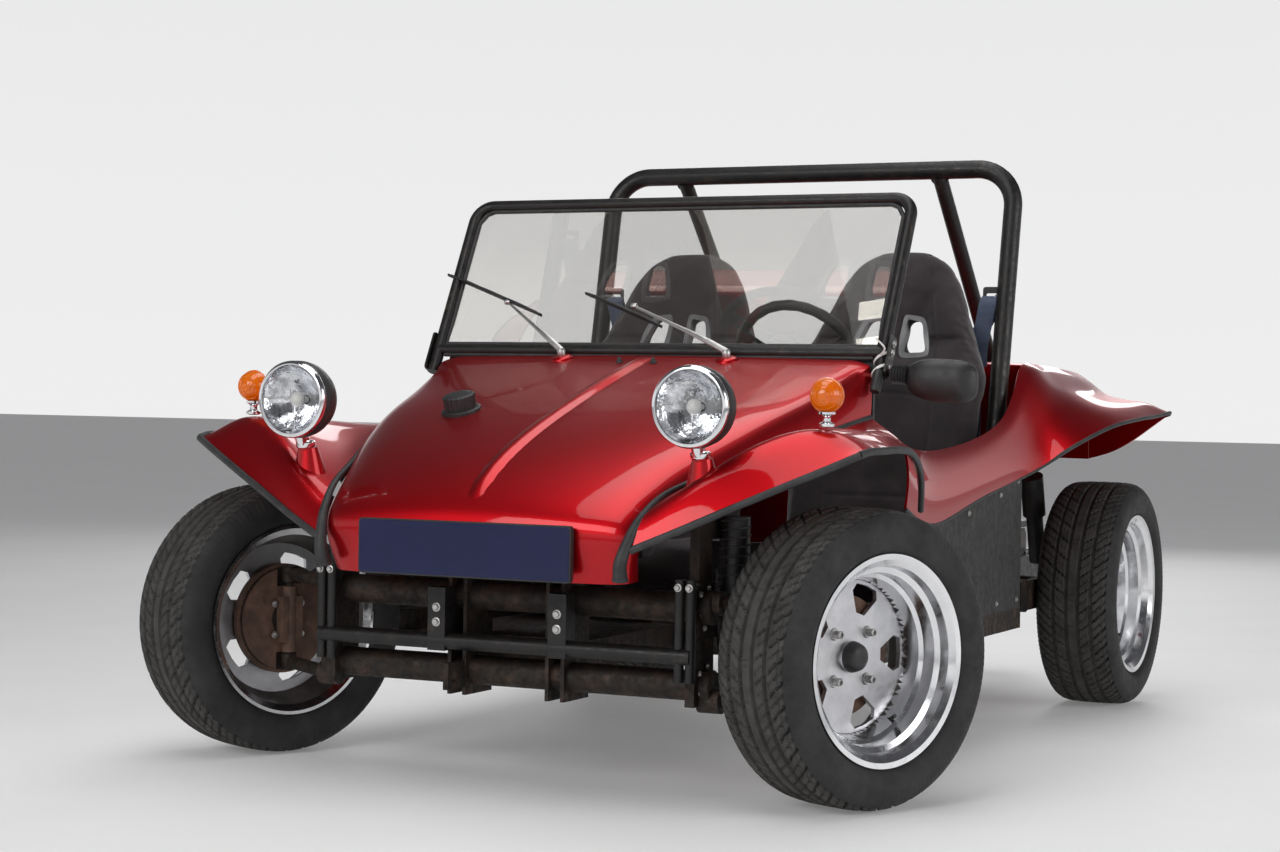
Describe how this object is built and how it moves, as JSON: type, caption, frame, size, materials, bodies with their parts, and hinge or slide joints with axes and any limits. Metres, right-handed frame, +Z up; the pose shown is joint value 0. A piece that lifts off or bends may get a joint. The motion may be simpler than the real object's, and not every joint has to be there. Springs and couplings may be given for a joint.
{
  "type": "dune buggy",
  "caption": "Open-top dune buggy with a red moulded body, fixed windshield, roll bar, bucket seats, rear engine and steering wheels that turn the front axle.",
  "frame": {"origin": "centre of the footprint, on the ground under the tyres", "axes": "-Y towards the nose, +X to the car's left, +Z up"},
  "size_m": [1.7812, 2.84, 1.4011],
  "materials": {
    "red_paint": "glossy metallic red",
    "black_coat": "worn black paint",
    "worn_steel": "oily, rusty steel",
    "tyre_rubber": "matt",
    "polished_alloy": "polished",
    "glass": "clear, slightly warm",
    "seat_cloth": "brushed black cloth",
    "belt_webbing": "woven",
    "chrome": "polished",
    "amber_plastic": "translucent",
    "red_plastic": "translucent",
    "black_plastic": "grained",
    "plate_blue": "satin, blank",
    "body_mat": "bitumen coating"
  },
  "bodies": {
    "chassis": {"floor_pan": "worn_steel", "front_beam": "worn_steel", "bumper_bar": "worn_steel", "number_plate": "plate_blue", "hood": "red_paint", "front_fender_left": "red_paint", "front_fender_right": "red_paint", "body_side_left": "red_paint", "body_side_right": "red_paint", "rear_deck": "red_paint", "side_panels": "body_mat", "dashboard": "black_plastic", "windshield_frame": "black_coat", "windshield_glass": "glass", "wipers": "black_plastic", "fuel_cap": "black_plastic", "fuel_tank": "black_coat", "headlights": "chrome", "lamp_stalks": "red_paint", "indicators": "amber_plastic", "mirror": "black_plastic", "seat_left": "seat_cloth", "seat_right": "seat_cloth", "seat_belts": "belt_webbing", "roll_bar": "black_coat", "steering_column": "black_coat", "levers_and_pedals": "black_coat", "engine_and_gearbox": "worn_steel", "exhaust": "worn_steel", "rear_suspension": "worn_steel", "shock_absorbers": "black_coat", "tail_lights": "red_plastic"},
    "knuckle_left": {"knuckle_left": "worn_steel"},
    "knuckle_right": {"knuckle_right": "worn_steel"},
    "steering_wheel": {"steering_wheel": "black_plastic"},
    "pitman_arm": {"pitman_arm": "worn_steel"},
    "tie_rods": {"tie_rods": "worn_steel"},
    "wheel_front_left": {"tyre_front_left": "tyre_rubber", "rim_front_left": "polished_alloy"},
    "wheel_front_right": {"tyre_front_right": "tyre_rubber", "rim_front_right": "polished_alloy"},
    "wheel_rear_left": {"tyre_rear_left": "tyre_rubber", "rim_rear_left": "polished_alloy"},
    "wheel_rear_right": {"tyre_rear_right": "tyre_rubber", "rim_rear_right": "polished_alloy"}
  },
  "joints": [
    {"name": "steer_left", "type": "hinge", "parent": "chassis", "child": "knuckle_left", "pos_m": [0.635, -1.064, 0.293], "axis": [0, 0, 1], "range_deg": [-7, 53]},
    {"name": "steer_right", "type": "hinge", "parent": "chassis", "child": "knuckle_right", "pos_m": [-0.635, -1.064, 0.293], "axis": [0, 0, 1], "range_deg": [-7, 53]},
    {"name": "wheel_front_left_spin", "type": "hinge", "parent": "knuckle_left", "child": "wheel_front_left", "pos_m": [0.69667, -1.09018, 0.293], "axis": [0.9205, -0.3907, 0], "continuous": true},
    {"name": "wheel_rear_left_spin", "type": "hinge", "parent": "chassis", "child": "wheel_rear_left", "pos_m": [0.665, 0.836, 0.293], "axis": [1, 0, 0], "continuous": true},
    {"name": "wheel_front_right_spin", "type": "hinge", "parent": "knuckle_right", "child": "wheel_front_right", "pos_m": [-0.69667, -1.03782, 0.293], "axis": [0.9205, -0.3907, 0], "continuous": true},
    {"name": "wheel_rear_right_spin", "type": "hinge", "parent": "chassis", "child": "wheel_rear_right", "pos_m": [-0.665, 0.836, 0.293], "axis": [1, 0, 0], "continuous": true},
    {"name": "steering_wheel_turn", "type": "hinge", "parent": "chassis", "child": "steering_wheel", "pos_m": [0.24, -0.264, 0.865], "axis": [0.1155, 0.8821, 0.4568], "range_deg": [-98, 742]},
    {"name": "pitman_turn", "type": "hinge", "parent": "chassis", "child": "pitman_arm", "pos_m": [0.12, -1.094, 0.375], "axis": [0, 0, 1], "range_deg": [-7, 53]},
    {"name": "tie_rods_pivot", "type": "hinge", "parent": "pitman_arm", "child": "tie_rods", "pos_m": [0.15907, -1.00195, 0.375], "axis": [0, 0, 1], "range_deg": [-53, 7]}
  ],
  "couplings": [
    {"joint": "steer_right", "follows": "steer_left", "ratio": 1},
    {"joint": "pitman_turn", "follows": "steer_left", "ratio": 1},
    {"joint": "tie_rods_pivot", "follows": "steer_left", "ratio": -1},
    {"joint": "steering_wheel_turn", "follows": "steer_left", "ratio": 14}
  ]
}
